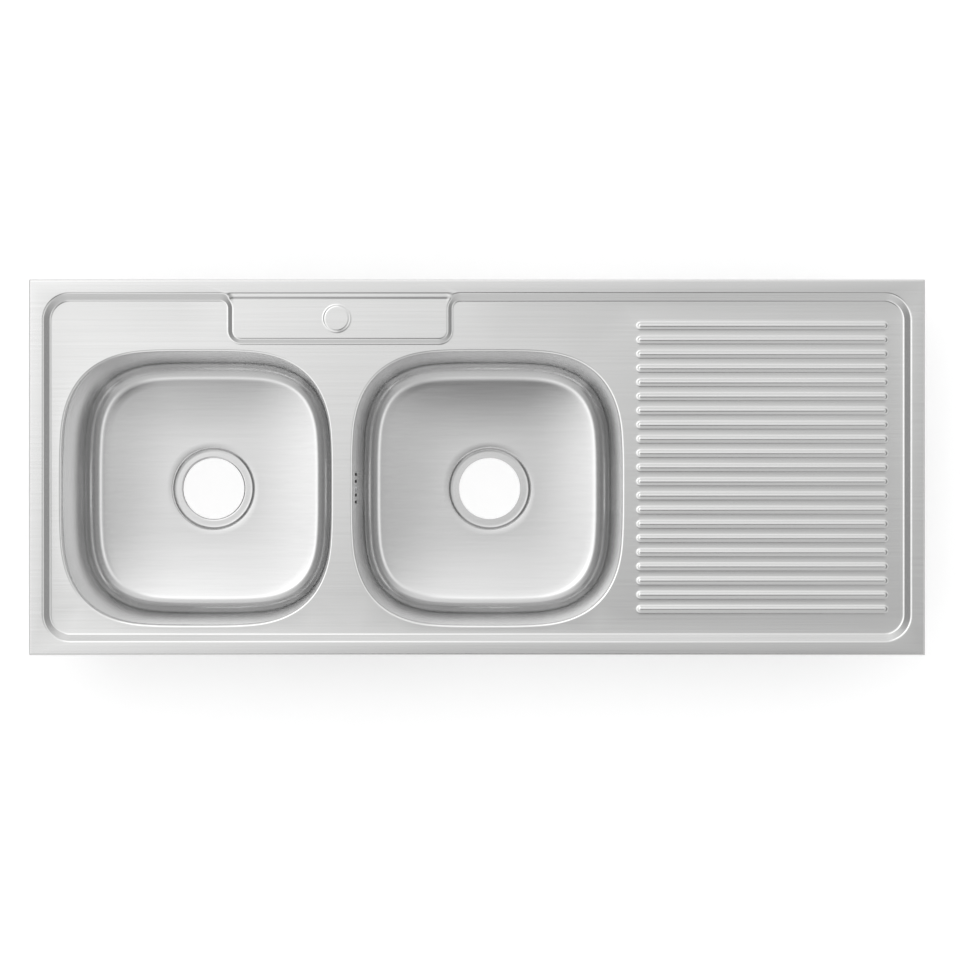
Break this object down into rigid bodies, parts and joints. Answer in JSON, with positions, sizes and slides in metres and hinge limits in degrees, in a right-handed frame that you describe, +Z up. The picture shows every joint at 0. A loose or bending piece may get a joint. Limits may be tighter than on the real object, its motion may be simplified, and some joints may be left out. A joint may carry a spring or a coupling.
{
  "type": "double bowl sink top",
  "caption": "Lay-on stainless sink top with twin drawn bowls, a raised tap ledge, a ribbed drainboard and screw clips underneath.",
  "frame": {"origin": "under the middle of the sheet, on the plane of the two drain seats that it stands on", "axes": "+X towards the drainboard, +Y towards the tap ledge, +Z up"},
  "size_m": [1.2, 0.504, 0.1758],
  "materials": {
    "sink_steel": "fine lengthwise brushed grain, satin",
    "bowl_steel": "satin drawn steel",
    "bracket_steel": "zinc plated, dull",
    "screw_steel": "bright zinc plated",
    "deadening_rubber": "matt",
    "seal_rubber": "matt",
    "overflow_plastic": "moulded"
  },
  "bodies": {
    "top": {"top_deck": "sink_steel", "left_bowl": "bowl_steel", "right_bowl": "bowl_steel", "left_bowl_pad": "deadening_rubber", "right_bowl_pad": "deadening_rubber", "overflow_gasket": "seal_rubber", "overflow_box": "overflow_plastic", "overflow_screw": "screw_steel", "tap_plate": "bracket_steel", "drainboard_stiffener_1": "bracket_steel", "drainboard_stiffener_2": "bracket_steel", "drainboard_pad": "deadening_rubber", "front_left_bracket": "bracket_steel", "front_right_bracket": "bracket_steel", "back_left_bracket": "bracket_steel", "back_right_bracket": "bracket_steel", "left_end_bracket": "bracket_steel", "right_end_bracket": "bracket_steel"},
    "front_left_claw": {"front_left_claw": "bracket_steel"},
    "front_left_screw": {"front_left_screw": "screw_steel"},
    "front_right_claw": {"front_right_claw": "bracket_steel"},
    "front_right_screw": {"front_right_screw": "screw_steel"},
    "back_left_claw": {"back_left_claw": "bracket_steel"},
    "back_left_screw": {"back_left_screw": "screw_steel"},
    "back_right_claw": {"back_right_claw": "bracket_steel"},
    "back_right_screw": {"back_right_screw": "screw_steel"},
    "left_end_claw": {"left_end_claw": "bracket_steel"},
    "left_end_screw": {"left_end_screw": "screw_steel"},
    "right_end_claw": {"right_end_claw": "bracket_steel"},
    "right_end_screw": {"right_end_screw": "screw_steel"}
  },
  "joints": [
    {"name": "front_left_claw_rise", "type": "slide", "parent": "top", "child": "front_left_claw", "axis": [0, 0, 1], "range_m": [0, 0.012]},
    {"name": "front_left_screw_turn", "type": "hinge", "parent": "front_left_claw", "child": "front_left_screw", "pos_m": [-0.18155, -0.227, 0.1165], "axis": [0, 0, 1], "range_deg": [0, 4320]},
    {"name": "front_right_claw_rise", "type": "slide", "parent": "top", "child": "front_right_claw", "axis": [0, 0, 1], "range_m": [0, 0.012]},
    {"name": "front_right_screw_turn", "type": "hinge", "parent": "front_right_claw", "child": "front_right_screw", "pos_m": [0.38225, -0.227, 0.1165], "axis": [0, 0, 1], "range_deg": [0, 4320]},
    {"name": "back_left_claw_rise", "type": "slide", "parent": "top", "child": "back_left_claw", "axis": [0, 0, 1], "range_m": [0, 0.012]},
    {"name": "back_left_screw_turn", "type": "hinge", "parent": "back_left_claw", "child": "back_left_screw", "pos_m": [-0.18155, 0.227, 0.1165], "axis": [0, 0, 1], "range_deg": [0, 4320]},
    {"name": "back_right_claw_rise", "type": "slide", "parent": "top", "child": "back_right_claw", "axis": [0, 0, 1], "range_m": [0, 0.012]},
    {"name": "back_right_screw_turn", "type": "hinge", "parent": "back_right_claw", "child": "back_right_screw", "pos_m": [0.38225, 0.227, 0.1165], "axis": [0, 0, 1], "range_deg": [0, 4320]},
    {"name": "left_end_claw_rise", "type": "slide", "parent": "top", "child": "left_end_claw", "axis": [0, 0, 1], "range_m": [0, 0.012]},
    {"name": "left_end_screw_turn", "type": "hinge", "parent": "left_end_claw", "child": "left_end_screw", "pos_m": [-0.575, -0.02805, 0.1165], "axis": [0, 0, 1], "range_deg": [0, 4320]},
    {"name": "right_end_claw_rise", "type": "slide", "parent": "top", "child": "right_end_claw", "axis": [0, 0, 1], "range_m": [0, 0.012]},
    {"name": "right_end_screw_turn", "type": "hinge", "parent": "right_end_claw", "child": "right_end_screw", "pos_m": [0.575, -0.02805, 0.1165], "axis": [0, 0, 1], "range_deg": [0, 4320]}
  ],
  "couplings": [
    {"joint": "front_left_screw_turn", "follows": "front_left_claw_rise", "rad_per_m": 6283.2},
    {"joint": "front_right_screw_turn", "follows": "front_right_claw_rise", "rad_per_m": 6283.2},
    {"joint": "back_left_screw_turn", "follows": "back_left_claw_rise", "rad_per_m": 6283.2},
    {"joint": "back_right_screw_turn", "follows": "back_right_claw_rise", "rad_per_m": 6283.2},
    {"joint": "left_end_screw_turn", "follows": "left_end_claw_rise", "rad_per_m": 6283.2},
    {"joint": "right_end_screw_turn", "follows": "right_end_claw_rise", "rad_per_m": 6283.2}
  ]
}
